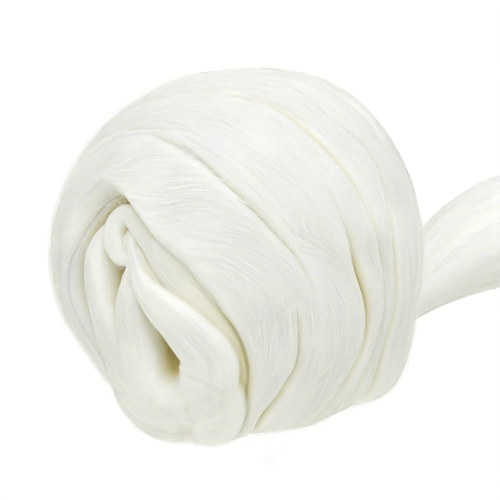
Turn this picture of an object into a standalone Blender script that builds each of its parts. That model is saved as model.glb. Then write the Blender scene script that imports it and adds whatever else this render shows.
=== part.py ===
"""Ball of wool roving, wound in flat turns round a nearly level axis, with one loose end on the surface beside it.

The front pole of the winding axis is open: there the roving is doubled back in a bunch of loops, with a pit between
them. The shape is worked out from the creases between the turns, the ropes of the bunch and a few broad swellings.
"""

import bmesh
import bpy
import numpy as np
from mathutils import Vector

MM = 0.001
COLLECTION = "wool_roving"

# The wound ball.
BALL_RADIUS = 57.6 * MM
BALL_CENTRE = np.array((-0.5, -0.2, 54.5)) * MM
FLOOR_ROUNDING = 1.5 * MM  # height over which the ball's skin turns into its flat spot
WINDING_AXIS = (-0.424, -0.901, 0.093)  # towards the open front pole
COLUMNS = 80  # vertices round the winding axis
KNOT_SMOOTHING = (-9, -6, -3, 0, 3, 6, 9)  # degrees over which a crease's knots are averaged

# The turns between the creases, from the front pole to the back pole: rows of vertices, crown (mm).
TURNS = (
    (16, 0.0),  # the bunch, below its loops
    (6, 1.2),
    (3, 0.3),
    (3, 0.6),
    (3, 0.8),
    (4, 1.0),
    (5, 0.9),
    (4, 1.2),
    (4, 1.2),
    (4, 1.2),
    (4, 1.0),
    (3, 0.0),
)

# The creases between them. Each knot: place round the axis, from the top towards the right (degrees); distance from
# the front pole (degrees); depth (mm).
CREASES = (
    ("mouth of the bunch", (
        (-115, 40, 4), (-100, 42, 4.5), (-85, 43, 5), (-73, 42, 6.5), (-62, 39.5, 8), (-50, 39, 9), (-38, 40, 9),
        (-28, 38, 7.5), (-18, 34.5, 6), (0, 25, 5), (24, 21, 5), (49, 20, 6), (76, 22, 7), (92, 26, 9), (115, 31, 9),
        (128, 35, 8), (141, 43, 6), (156, 55, 4), (180, 62, 3), (205, 61, 3), (225, 53, 3))),
    ("short lower crease", (
        (-115, 47, 0), (-90, 50, 0), (-60, 49, 0), (-31, 47, 0), (0, 40, 0), (30, 37, 0), (50, 38, 0), (60, 41, 0.5),
        (68, 43, 2), (80, 44, 5), (105, 46, 6), (121, 45.5, 5.5), (136, 49, 5), (156, 60, 2.5), (180, 66, 1),
        (205, 65, 0.5), (225, 59, 0))),
    ("long diagonal crease", (
        (-115, 56, 1), (-60, 58, 0.5), (-16, 57, 1.2), (1, 51, 2.5), (13, 48, 3.2), (35, 45, 4), (56, 46, 4),
        (71, 49, 2.5), (83, 51, 0.5), (105, 54, 0), (136, 57, 0), (156, 65, 0), (180, 70, 1), (205, 70, 1.5),
        (225, 65, 1.8))),
    ("faint upper crease", (
        (-115, 65, 1.8), (-60, 65, 1.5), (-28, 63, 1.5), (-11, 60, 1.2), (-2, 58, 0.6), (20, 56, 0), (47, 55, 0),
        (71, 57, 0), (105, 61, 0), (136, 64, 0), (156, 70, 0), (180, 73, 0.5), (225, 72, 1.5))),
    ("deep right-hand crease", (
        (-60, 72, 0.5), (0, 68, 0), (30, 66, 0), (47, 66, 0.5), (62, 66, 3), (77, 65, 5.5), (92, 67, 6), (113, 66, 6.5),
        (125, 66, 6.5), (141, 70, 4), (160, 75, 2), (180, 77, 1.5), (225, 80, 2), (270, 76, 2.5))),
    ("upper right crease", (
        (-60, 79, 2.5), (-20, 77, 2.2), (0, 78, 3.2), (15, 80, 3.6), (26, 77, 4), (48, 77, 4), (62, 75, 3), (85, 74, 1.5),
        (115, 72, 4), (125, 71.5, 5), (141, 76, 4), (160, 81, 2), (180, 84.5, 1.2), (225, 88, 2.5), (270, 85, 3))),
    ("outer right crease", (
        (-60, 94, 2), (-20, 92, 1.8), (0, 91, 1.2), (21, 91, 1.6), (34, 91, 1.2), (60, 96, 1.5), (79, 94, 3),
        (89, 83, 3.5), (104, 78, 4), (120, 79, 5), (141, 86, 3.5), (160, 98, 2), (180, 106, 1.5), (225, 103, 3),
        (270, 97, 3))),
    ("first back crease", ((0, 107, 3), (60, 112, 3), (120, 106, 4), (180, 120, 3), (240, 116, 4), (300, 108, 3))),
    ("second back crease", ((0, 124, 4), (60, 124, 3), (120, 119, 4), (180, 132, 4), (240, 131, 3), (300, 125, 4))),
    ("third back crease", ((0, 141, 4), (60, 137, 4), (120, 134, 3), (180, 143, 4), (240, 146, 4), (300, 143, 3))),
    ("back pit", ((0, 160, 5), (60, 155, 4), (120, 153, 5), (180, 158, 5), (240, 163, 4), (300, 163, 5))),
)
CREASE_REACH = 8.5 * MM  # how far a crease draws the skin down on either side
CREASE_SHARPNESS = 2.2
BACK_PIT_DEPTH = 6 * MM

# Inside the mouth the skin drops to a floor on which the loops lie.
BUNCH_FLOOR_DEPTH = 13 * MM
BUNCH_WALL = 3.5 * MM  # width of the slope from the mouth to that floor

# Broad swellings: across, rise and out on the front view (mm), swelling (mm), spread (degrees).
SWELLINGS = (
    (36, 50, 4, 2.9, 27),
    (48, -40, 4, 4.8, 16),
    (-46, -34, 5, -2.6, 20),
    (8, -57, 3, -3.0, 12),
)
FRONT_VIEW_ELEVATION = 28  # degrees above the surface from which the swellings were measured

# The ropes of the bunch and the strap laid over the back. Each row: x, y, z from the ball's centre, radius (mm).
ROPES = {
    "loop": (
        (-31, -36, 17, 2.5), (-33, -38, 8, 4.5), (-33.5, -39.5, 0, 5.5), (-33.5, -38, -9, 6.5), (-32, -34, -20, 7.5),
        (-29.5, -29, -32, 9), (-24, -27, -40.5, 9.5), (-16, -28, -42, 8.3), (-7.5, -28, -41, 8.8), (-5.5, -35, -33, 8.8),
        (-5.5, -44, -22.5, 8.7), (-7, -49, -12.5, 8.7), (-11.5, -49.5, -5, 8.5), (-16, -48.5, 1, 7.8),
        (-21, -46.5, 7, 6.5), (-25.5, -44, 12.5, 4.6), (-29, -39, 17, 3)),
    "outer_arm": (
        (-36.5, -28.5, 26.5, 3.2), (-41, -26, 20.5, 4.2), (-43.5, -25, 13.5, 5), (-44.3, -26, 5.5, 5.3),
        (-43.3, -28, -2, 5.5), (-41, -28.5, -10.5, 5.8), (-38.3, -27.5, -19.5, 6.2), (-35, -26, -28, 6.8),
        (-30, -27, -35.5, 8)),
    "arch": (
        (-41, -21, 17, 3), (-38.5, -22.5, 21, 3.5), (-34.5, -26, 24, 3.6), (-30, -31, 23, 3.7), (-25, -35.5, 20, 4),
        (-19.5, -40, 16.5, 4.2), (-14, -43.7, 12.7, 4.4), (-9, -46.2, 7.5, 4.5), (-4.5, -47.5, 0.5, 4.6),
        (-1, -47, -8, 4.6), (0.5, -44.5, -19, 4.5), (-2, -39, -29, 4.5)),
    "hooked_tip": ((-39, -22, 18.5, 2.6), (-38, -26, 16.5, 2.8), (-35.5, -29, 15, 2.8), (-32, -33, 15.5, 2.5)),
    "back_strap": (
        (-30, 18, 34, 7), (-20, 29, 30, 12), (-8, 37, 26, 14), (6, 43, 17, 14.3), (18, 44, 3, 13.5), (27, 39, -12, 12.5),
        (33, 28, -25, 11), (33, 15, -34, 8)),
}
ROPE_STEP = 0.8 * MM  # spacing of the sections worked out along a rope

# The loose end, which lies on the surface. Each row: x, y in part coordinates, half width (mm).
LOOSE_END_ROUTE = (
    (30, 20, 10.5), (37, 31.5, 11), (44.5, 42.5, 11.2), (52, 52, 11.4), (60, 61, 12), (68, 69.3, 14.2),
    (76.5, 76.8, 17.7), (86, 83.5, 20.6), (96.5, 89.5, 22.9), (107.5, 95, 23.4), (119.5, 99, 22.8),
    (131.5, 101.8, 21.7), (143.5, 102.7, 20.3), (154.5, 101.8, 18.6), (165.5, 99, 16.8), (175.5, 94.5, 14.8),
    (184.5, 88.5, 12.8), (192.5, 81.5, 10.6), (199, 73.5, 8.3),
)
LOOSE_END_FLATNESS = 0.8  # height of its section for a width of 1
LOOSE_END_SINK = 0.06  # share of its half height that its underside is pressed flat
LOOSE_END_STEP = 6 * MM
SIDES_OF_LOOSE_END = 4  # bevel resolution: 12 sides
PIECE_GAP = 0.4 * MM  # clearance between the ball and the loose end

WOOL = {"Base Color": (0.93, 0.93, 0.90, 1.0), "Roughness": 0.9, "Metallic": 0.0}


def unit(vector):
    """The vector or vectors, scaled to length 1."""
    vector = np.asarray(vector, dtype=float)
    return vector / np.linalg.norm(vector, axis=-1, keepdims=True)


def winding_frame():
    """The winding axis, the direction across it that points up, and the one that completes them."""
    axis = unit(WINDING_AXIS)
    upward = unit(np.array((0.0, 0.0, 1.0)) - axis * axis[2])
    return axis, upward, np.cross(upward, axis)


def front_view_point(across, rise, out):
    """A point measured from the ball's centre on the front view, turned into part directions."""
    tilt = np.radians(FRONT_VIEW_ELEVATION)
    return np.array((
        across,
        rise * np.sin(tilt) - out * np.cos(tilt),
        rise * np.cos(tilt) + out * np.sin(tilt),
    ))


def crease_at(knots, around):
    """A crease's distance from the front pole (radians) and its depth (metres) at places round the axis."""
    ordered = sorted((place % 360, distance, depth) for place, distance, depth in knots)
    places, distances, depths = np.array(ordered, dtype=float).T
    turned = [around + shift for shift in KNOT_SMOOTHING]
    distance = np.mean([np.interp(a, places, distances, period=360) for a in turned], axis=0)
    depth = np.mean([np.interp(a, places, depths, period=360) for a in turned], axis=0)
    return np.radians(distance), depth * MM


def smooth_line(rows, step):
    """Sections spaced evenly along a smooth curve through the rows: the first three numbers are the place."""
    rows = np.asarray(rows, dtype=float)
    padded = np.vstack((2 * rows[0] - rows[1], rows, 2 * rows[-1] - rows[-2]))
    share = np.linspace(0, 1, 24, endpoint=False)[:, None]
    pieces = []
    for a, b, c, d in zip(padded, padded[1:], padded[2:], padded[3:]):
        pieces.append(0.5 * (2 * b + (c - a) * share + (2 * a - 5 * b + 4 * c - d) * share**2
                             + (3 * b - a - 3 * c + d) * share**3))
    fine = np.vstack((*pieces, rows[-1:]))
    run = np.concatenate(([0], np.cumsum(np.linalg.norm(np.diff(fine[:, :3], axis=0), axis=1))))
    places = np.linspace(0, run[-1], max(2, round(run[-1] / step) + 1))
    return np.column_stack([np.interp(places, run, column) for column in fine.T])


def rope_reach(direction):
    """How far from the ball's centre the outermost rope lies in each direction, or 0 where there is none."""
    reach = np.zeros(len(direction))
    for rows in ROPES.values():
        for x, y, z, radius in smooth_line(np.array(rows) * MM, ROPE_STEP):
            centre = np.array((x, y, z))
            along = direction @ centre
            inside = along**2 - (centre @ centre - radius**2)
            far_side = along + np.sqrt(np.maximum(inside, 0))
            reach = np.maximum(reach, np.where((inside > 0) & (along > 0), far_side, 0))
    return reach


def swelling(direction):
    """The broad swellings of the ball in each direction."""
    total = np.zeros(len(direction))
    for across, rise, out, size, spread in SWELLINGS:
        middle = unit(front_view_point(across, rise, out))
        angle = np.degrees(np.arccos(np.clip(direction @ middle, -1, 1)))
        total += size * MM * np.exp(-((angle / spread) ** 2))
    return total


def skin(row, around):
    """Points of the ball's skin, from its centre, for rows counted from the front pole and places round the axis."""
    axis, upward, sideways = winding_frame()
    edges = np.concatenate(([0], np.cumsum([rows for rows, _ in TURNS])))
    turn = np.clip(np.searchsorted(edges, row, side="right") - 1, 0, len(TURNS) - 1)
    share = (row - edges[turn]) / (edges[turn + 1] - edges[turn])
    crown = np.array([height for _, height in TURNS])[turn] * MM

    lines = [crease_at(knots, around) for _, knots in CREASES]
    distances = np.vstack([np.zeros(len(row)), *[line[0] for line in lines], np.full(len(row), np.pi)])
    depths = np.vstack([np.zeros(len(row)), *[line[1] for line in lines], np.full(len(row), BACK_PIT_DEPTH)])
    column = np.arange(len(row))
    near, far = distances[turn, column], distances[turn + 1, column]
    crowded = 0.5 - 0.5 * np.cos(np.pi * share)  # rows lie closer together at the creases
    share = np.where(turn == 0, share, 0.35 * share + 0.65 * crowded)
    along = near + share * (far - near)

    def drawn_down(limit, depth):
        gap = np.abs(along - limit) * BALL_RADIUS
        return depth * np.maximum(0, 1 - gap / CREASE_REACH) ** CREASE_SHARPNESS

    height = crown * (1 - (2 * share - 1) ** 2)
    height -= np.where(turn > 0, drawn_down(near, depths[turn, column]), 0)
    height -= drawn_down(far, depths[turn + 1, column])
    slope = np.clip((far - along) * BALL_RADIUS / BUNCH_WALL, 0, 1)
    mouth_depth = depths[1]
    floor = -mouth_depth - (BUNCH_FLOOR_DEPTH - mouth_depth) * slope
    height = np.where(turn == 0, floor, height)

    turned = np.radians(around)[:, None]
    across = upward * np.cos(turned) + sideways * np.sin(turned)
    direction = axis * np.cos(along)[:, None] + across * np.sin(along)[:, None]
    radius = np.maximum(BALL_RADIUS + swelling(direction) + height, rope_reach(direction))
    return direction * radius[:, None]


def rest_on_floor(points):
    """Points with everything below the floor pressed up to it, rounded where the skin meets it."""
    height = points[:, 2]
    rounding = FLOOR_ROUNDING
    rounded = (height + rounding) ** 2 / (4 * rounding)
    pressed = np.where(height > rounding, height, np.where(height > -rounding, rounded, 0))
    return np.column_stack((points[:, :2], pressed))


def wool_material(name):
    """An undyed wool finish."""
    material = bpy.data.materials.new(name)
    material.use_nodes = True
    shader = material.node_tree.nodes["Principled BSDF"]
    for socket, value in WOOL.items():
        shader.inputs[socket].default_value = value
    material.diffuse_color = WOOL["Base Color"]
    return material


def finish(piece, collection):
    """Shade a piece smooth, give it its wool and move it to the object's collection."""
    piece.data.materials.clear()
    piece.data.materials.append(wool_material(piece.name + "_wool"))
    piece.data.shade_smooth()
    for other in list(piece.users_collection):
        other.objects.unlink(piece)
    collection.objects.link(piece)
    return piece


def wound_ball(collection):
    """The ball: a sphere with its poles on the winding axis, drawn into turns, creases and the bunch."""
    rings = sum(rows for rows, _ in TURNS)
    bpy.ops.mesh.primitive_uv_sphere_add(segments=COLUMNS, ring_count=rings, radius=1.0)
    ball = bpy.context.object
    ball.name = ball.data.name = "wound_ball"
    points = np.empty(len(ball.data.vertices) * 3)
    ball.data.vertices.foreach_get("co", points)
    points = points.reshape(-1, 3)
    row = np.arccos(np.clip(points[:, 2], -1, 1)) / np.pi * rings
    around = np.degrees(np.arctan2(-points[:, 1], points[:, 0]))
    shaped = rest_on_floor(skin(np.round(row), around) + BALL_CENTRE)
    ball.data.vertices.foreach_set("co", shaped.ravel())
    ball.data.update()
    return finish(ball, collection)


def as_mesh(piece):
    """A curve turned into a mesh object of the same name and place, with its caps welded on."""
    evaluated = piece.evaluated_get(bpy.context.evaluated_depsgraph_get())
    mesh = bpy.data.meshes.new_from_object(evaluated)
    welded = bmesh.new()
    welded.from_mesh(mesh)
    bmesh.ops.remove_doubles(welded, verts=welded.verts, dist=0.00001)
    bmesh.ops.recalc_face_normals(welded, faces=welded.faces)
    welded.to_mesh(mesh)
    welded.free()
    name = piece.name
    solid = bpy.data.objects.new(name + "_mesh", mesh)
    solid.matrix_world = piece.matrix_world.copy()
    bpy.data.objects.remove(piece)
    solid.name = name
    return solid


def loose_end(collection, ball, cutters):
    """The loose end: a soft oval rope on the surface, cut where it comes out from under the ball."""
    rows = [(x, y, half * (1 - LOOSE_END_SINK), half) for x, y, half in LOOSE_END_ROUTE]
    sections = smooth_line(np.array(rows) * MM, LOOSE_END_STEP)
    curve = bpy.data.curves.new("loose_end", "CURVE")
    curve.dimensions = "3D"
    curve.bevel_depth = 1.0
    curve.bevel_resolution = SIDES_OF_LOOSE_END
    curve.use_fill_caps = True
    spline = curve.splines.new("POLY")
    spline.points.add(len(sections) - 1)
    for point, (x, y, z, radius) in zip(spline.points, sections):
        point.co = (x, y, z, 1.0)
        point.radius = radius
    rope = bpy.data.objects.new("loose_end", curve)
    collection.objects.link(rope)
    bpy.context.view_layer.update()
    rope = as_mesh(rope)
    for vertex in rope.data.vertices:
        vertex.co.z = max(0.0, vertex.co.z) * LOOSE_END_FLATNESS
    finish(rope, collection)

    cutter = ball.copy()
    cutter.data = ball.data.copy()
    cutter.name = cutter.data.name = "ball_clearance"
    grown = 1 + PIECE_GAP / BALL_RADIUS * 1.4
    centre = Vector(BALL_CENTRE)
    for vertex in cutter.data.vertices:
        vertex.co = centre + (vertex.co - centre) * grown
    cutter.hide_render = True
    cutter.display_type = "WIRE"
    cutters.objects.link(cutter)
    cut = rope.modifiers.new("clear_of_ball", "BOOLEAN")
    cut.operation = "DIFFERENCE"
    cut.solver = "EXACT"
    cut.object = cutter
    return rope


def main():
    for old in list(bpy.data.objects):
        bpy.data.objects.remove(old, do_unlink=True)
    collection = bpy.data.collections.new(COLLECTION)
    cutters = bpy.data.collections.new("cutters")
    bpy.context.scene.collection.children.link(collection)
    bpy.context.scene.collection.children.link(cutters)
    ball = wound_ball(collection)
    loose_end(collection, ball, cutters)


main()
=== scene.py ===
import math

import bpy
import numpy as np
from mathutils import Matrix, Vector, kdtree, noise


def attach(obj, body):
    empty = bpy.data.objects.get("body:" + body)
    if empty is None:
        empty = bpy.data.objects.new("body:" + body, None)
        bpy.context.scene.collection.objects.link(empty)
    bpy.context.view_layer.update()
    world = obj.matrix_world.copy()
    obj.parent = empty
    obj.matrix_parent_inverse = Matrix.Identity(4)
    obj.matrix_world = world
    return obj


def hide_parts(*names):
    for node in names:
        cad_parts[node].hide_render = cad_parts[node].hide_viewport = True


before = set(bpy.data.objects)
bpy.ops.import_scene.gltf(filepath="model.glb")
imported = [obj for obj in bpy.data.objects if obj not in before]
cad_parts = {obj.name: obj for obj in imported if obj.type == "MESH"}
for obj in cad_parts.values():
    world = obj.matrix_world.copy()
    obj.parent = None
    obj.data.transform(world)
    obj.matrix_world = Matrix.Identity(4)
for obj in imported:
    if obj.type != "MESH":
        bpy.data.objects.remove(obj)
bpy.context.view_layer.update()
mm = 0.001
chance = np.random.default_rng(17)
print("frame loaded:", ", ".join(sorted(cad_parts)))

# lengths are in millimetres, angles in degrees unless a note says otherwise
ball = {
    "radius": 57.6,
    "centre": (-0.5, -0.2, 54.5),
    "axis": (-0.424, -0.901, 0.093),   # towards the open front pole
    "floorRounding": 1.5,              # height over which the skin turns into its flat spot
}
ballCentre = np.array(ball["centre"]) * mm

# the camera comes first, then the loose end, which is the only cord
picture = {
    "elevation": 28,          # above the surface
    "distance": 600,          # from the point it looks at
    "across": 14.85,          # from edge to edge of the picture
    "aimRight": 4.38,         # from the ball's centre, on the picture
    "aimUp": 1.88,
    "sensor": 36,
    "clip": (50, 20000),      # nearest and furthest that it sees
}


def makeCamera():
    tilt = math.radians(picture["elevation"])
    upward = Vector((0, math.sin(tilt), math.cos(tilt)))
    towards = Vector((0, -math.cos(tilt), math.sin(tilt)))
    aim = Vector(ballCentre) + Vector((1, 0, 0)) * picture["aimRight"] * mm + upward * picture["aimUp"] * mm
    data = bpy.data.cameras.new("camera")
    data.sensor_width = picture["sensor"]
    data.lens = data.sensor_width / 2 / math.tan(math.radians(picture["across"]) / 2)
    data.clip_start, data.clip_end = [limit * mm for limit in picture["clip"]]
    camera = bpy.data.objects.new("camera", data)
    bpy.context.scene.collection.objects.link(camera)
    camera.location = aim + towards * picture["distance"] * mm
    camera.rotation_euler = (-towards).to_track_quat("-Z", "Y").to_euler()
    bpy.context.scene.camera = camera


makeCamera()
print("camera placed")


lineDetail = 24      # places worked out between two rows of a line
fibreSteps = 6       # points along a loose fibre


def unit(vectors):
    vectors = np.asarray(vectors, dtype=float)
    return vectors / np.maximum(np.linalg.norm(vectors, axis=-1, keepdims=True), 1e-12)


def smoothLine(rows, step):                      # even sections along a smooth curve through the rows
    rows = np.asarray(rows, dtype=float)
    padded = np.vstack((2 * rows[0] - rows[1], rows, 2 * rows[-1] - rows[-2]))
    share = np.linspace(0, 1, lineDetail, endpoint=False)[:, None]
    parts = []
    for a, b, c, d in zip(padded, padded[1:], padded[2:], padded[3:]):
        parts.append(0.5 * (2 * b + (c - a) * share + (2 * a - 5 * b + 4 * c - d) * share**2
                            + (3 * b - a - 3 * c + d) * share**3))
    fine = np.vstack((*parts, rows[-1:]))
    run = np.concatenate(([0], np.cumsum(np.linalg.norm(np.diff(fine[:, :3], axis=0), axis=1))))
    places = np.linspace(0, run[-1], max(2, round(run[-1] / step) + 1))
    return np.column_stack([np.interp(places, run, column) for column in fine.T])


def grain(coords, frequency, shift=0.0):         # soft noise, about -1 to 1, for an array of places
    flat = (coords * frequency + shift).reshape(-1, 3)
    return np.array([noise.noise(place) for place in flat.tolist()]).reshape(coords.shape[:-1])


def ringFaces(rings, sides):                     # four-sided faces between rings that close on themselves
    low = np.arange(rings - 1)[:, None] * sides
    here, following = np.arange(sides), (np.arange(sides) + 1) % sides
    corners = (low + here, low + following, low + sides + following, low + sides + here)
    return np.stack(corners, axis=-1).reshape(-1, 4)


def restOnFloor(points, rounding):               # what would dip below the floor is pressed flat on it
    height = points[..., 2]
    rounded = (height + rounding) ** 2 / (4 * rounding)
    points[..., 2] = np.where(height > rounding, height, np.where(height > -rounding, rounded, 0))
    return points


# fibre: where a place lies along and across its strand, for the streaks. sunk: how deep it lies in a hollow,
# which the materials turn into painted shade, darker and yellower
def newPiece(name, points, faces, fibre, sunk):
    mesh = bpy.data.meshes.new(name)
    mesh.from_pydata(points.reshape(-1, 3).tolist(), [], faces)
    mesh.attributes.new("fibre", "FLOAT_VECTOR", "POINT").data.foreach_set(
        "vector", fibre.astype(np.float32).ravel())
    mesh.attributes.new("sunk", "FLOAT", "POINT").data.foreach_set("value", sunk.astype(np.float32).ravel())
    mesh.shade_smooth()
    piece = bpy.data.objects.new(name, mesh)
    bpy.context.scene.collection.objects.link(piece)
    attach(piece, "root")
    woolPieces.append(piece)
    return piece


woolPieces = []

strands = {
    "stretch": 22.0,       # how much longer a streak of the wool is than it is wide
    "relief": ((0.24, 0.26), (0.7, 0.2), (1.7, 0.09)),   # streaks to the millimetre, height
    "shift": 3.7,          # keeps the sizes of streak apart
}


def strandRelief(fibre):                         # height of the locks and strands at each place, mm
    total = np.zeros(fibre.shape[:-1])
    for number, (frequency, height) in enumerate(strands["relief"]):
        total += height * grain(fibre, frequency, shift=strands["shift"] * number)
    return total


threadForm = {
    "ends": 0.04,          # share of its length that is missing from its taper at each end
    "fullness": 0.5,       # below 1 it is nearly full all along, above 1 it is thick in the middle alone
    "base": 0.3,           # how deep its two lower edges lie, for a ridge of 1
}


# loose fibres: three-sided threads along lines of points that lie on the wool. low: height of a thread's
# ridge for a half width of 1
def makeFibres(name, lines, outward, radii, fibre, sunk, low):
    count, steps = lines.shape[:2]
    along = unit(np.gradient(lines, axis=1))
    across = unit(np.cross(along, outward))
    over = np.cross(along, across)
    places = np.linspace(threadForm["ends"], 1 - threadForm["ends"], steps)
    taper = np.sin(np.pi * places) ** threadForm["fullness"]
    size = (radii[:, None] * taper)[..., None]
    corners = [lines + size * (side * across + depth * over)
               for side, depth in ((1, threadForm["base"] * low), (-1, threadForm["base"] * low), (0, -low))]
    points = np.stack(corners, axis=2)
    base = np.arange(count)[:, None, None] * steps * 3 + np.arange(steps - 1)[None, :, None] * 3
    here, following = np.arange(3), (np.arange(3) + 1) % 3
    faces = np.stack((base + here, base + following, base + 3 + following, base + 3 + here), axis=-1)
    first = np.arange(count)[:, None] * steps * 3
    ends = np.vstack((first + (2, 1, 0), first + (steps - 1) * 3 + (0, 1, 2)))
    allFaces = faces.reshape(-1, 4).tolist() + ends.tolist()
    piece = newPiece(name, points * mm, allFaces, np.repeat(fibre[:, :, None], 3, axis=2),
                     np.repeat(sunk[:, :, None], 3, axis=2))
    piece.data.shade_flat()
    return piece


looseEnd = {
    # x, y on the surface, half width
    "route": (
        (30, 20, 10.5), (37, 31.5, 11), (44.5, 42.5, 11.2), (52, 52, 11.4), (60, 61, 12), (68, 69.3, 14.2),
        (76.5, 76.8, 17.7), (86, 83.5, 20.6), (96.5, 89.5, 22.9), (107.5, 95, 23.4), (119.5, 99, 22.8),
        (131.5, 101.8, 21.7), (143.5, 102.7, 20.3), (154.5, 101.8, 18.6), (165.5, 99, 16.8),
        (175.5, 94.5, 14.8), (184.5, 88.5, 12.8), (192.5, 81.5, 10.6), (199, 73.5, 8.3)),
    "flatness": 0.8,        # height of its section for a width of 1
    "sink": 0.06,           # share of its half height that its underside is pressed flat
    "floorRounding": 1,     # height over which it turns into its flat underside
    "step": 0.9,
    "sides": 110,
    "tipLength": 16,        # over which the end draws in
    "tipDraw": 0.97,        # share of its section that is gone at the very end
    "twist": 0.006,         # radians a millimetre that the strands turn round it
    "relief": 1.1,
    "thin": 6,              # half width below which its relief fades
    "deepest": 3,
    "diameter": 35.5,
    # folds along it: place round the section, depth, half width (degrees), drift over its length
    "folds": ((118, 1.5, 9, -26), (74, 1.1, 8, 22), (47, 0.8, 8, -14), (149, 0.9, 9, 16), (205, 1.0, 12, 10),
              (330, 1.0, 12, -12)),
    "foldWander": (6, 9),            # how far a fold strays, how often
    "foldChange": (0.6, 0.4, 7),     # least share of its depth and what comes and goes, how often
    "foldEdge": 1.3,
    # its loose fibres. starts: shares of its length; stray: turns round it; a short or low one is left out
    "wisps": {"count": 1500, "length": (10, 45), "radius": (0.05, 0.14), "starts": (-0.02, 0.99),
              "stray": 0.015, "lift": 0.06, "low": 0.35, "fewestRings": 5, "lowest": 1},
}


def makeLooseEnd():
    flatness = looseEnd["flatness"]
    rows = [(x, y, half * (1 - looseEnd["sink"]) * flatness, half) for x, y, half in looseEnd["route"]]
    line = smoothLine(np.array(rows), looseEnd["step"])
    centres, halves = line[:, :3], line[:, 3]
    run = np.concatenate(([0], np.cumsum(np.linalg.norm(np.diff(centres, axis=0), axis=1))))
    along = unit(np.gradient(centres, axis=0) * (1, 1, 0))
    side = np.cross(along, (0, 0, 1))
    toTip = np.clip((run[-1] - run) / looseEnd["tipLength"], 0, 1)
    halves = halves * np.sqrt(1 - (1 - toTip) ** 2 * looseEnd["tipDraw"])
    turned = np.linspace(0, 2 * np.pi, looseEnd["sides"], endpoint=False)
    spun = turned[None, :] + looseEnd["twist"] * run[:, None]
    fibre = np.stack((np.broadcast_to(run[:, None] / strands["stretch"], spun.shape),
                      halves[:, None] * np.cos(spun), halves[:, None] * np.sin(spun)), axis=-1)
    lift = looseEnd["relief"] * strandRelief(fibre)
    share = run / run[-1]
    (wander, often), (least, change, pace) = looseEnd["foldWander"], looseEnd["foldChange"]
    for place, depth, spread, drift in looseEnd["folds"]:
        middle = place + drift * (share - 0.5) + wander * np.sin(share * often + place)
        gap = (np.degrees(turned)[None, :] - middle[:, None] + 180) % 360 - 180
        lift -= (depth * np.exp(-np.abs(gap / spread) ** looseEnd["foldEdge"])
                 * (least + change * np.sin(share * pace + place))[:, None])
    reach = halves[:, None] + lift * np.minimum(1, halves / looseEnd["thin"])[:, None]
    points = (centres[:, None, :] + side[:, None, :] * (reach * np.cos(turned))[..., None]
              + np.array((0, 0, flatness)) * (reach * np.sin(turned))[..., None])
    points = restOnFloor(points, looseEnd["floorRounding"])
    faces = ringFaces(len(run), looseEnd["sides"]).tolist()
    last = (len(run) - 1) * looseEnd["sides"]
    faces.append(list(range(looseEnd["sides"]))[::-1])
    faces.append([last + number for number in range(looseEnd["sides"])])
    # how deep its folds lie, which the materials paint as shade
    sunk = np.clip(-lift, 0, looseEnd["deepest"])
    piece = newPiece("loose_end_roving", points * mm, faces, fibre, sunk)
    wispPiece = looseEndWisps(points, fibre, sunk)
    for covering in (piece, wispPiece):
        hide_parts("loose_end")
    path = points.mean(axis=1) * mm


def looseEndWisps(points, fibre, sunk):
    plan = looseEnd["wisps"]
    count, rings = plan["count"], len(points)
    share = np.linspace(0, 1, fibreSteps)
    length = chance.uniform(*plan["length"], count)
    start = chance.uniform(*plan["starts"], count) * rings
    ring = np.clip(start[:, None] + share * length[:, None] / looseEnd["step"], 0, rings - 1)
    ring = ring.round().astype(int)
    turned = chance.uniform(0, 1, count)[:, None] + share * chance.normal(0, plan["stray"], count)[:, None]
    side = (turned * looseEnd["sides"]).round().astype(int) % looseEnd["sides"]
    places = points[ring, side]
    outward = unit(places - points.mean(axis=1)[ring])
    places = places + outward * (plan["lift"] * np.sin(np.pi * share))[None, :, None]
    places[..., 2] = np.maximum(places[..., 2], plan["radius"][1])
    keep = (ring[:, -1] - ring[:, 0] > plan["fewestRings"]) & (places[..., 2].max(axis=1) > plan["lowest"])
    radii = chance.uniform(*plan["radius"], count)
    return makeFibres("loose_end_wisps", places[keep], outward[keep], radii[keep], fibre[ring, side][keep],
                      sunk[ring, side][keep], plan["low"])


makeLooseEnd()
print("loose end laid out")

# each turn, from the front pole to the back pole: rows of vertices, crown
turns = ((112, 0.0), (52, 0.9), (22, 0.5), (24, 0.6), (28, 0.8), (28, 0.8), (28, 1.0), (30, 1.2), (32, 1.2),
         (30, 1.2), (28, 1.0), (16, 0.0))
turnColumns = 420
frontTurns = 7

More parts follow.
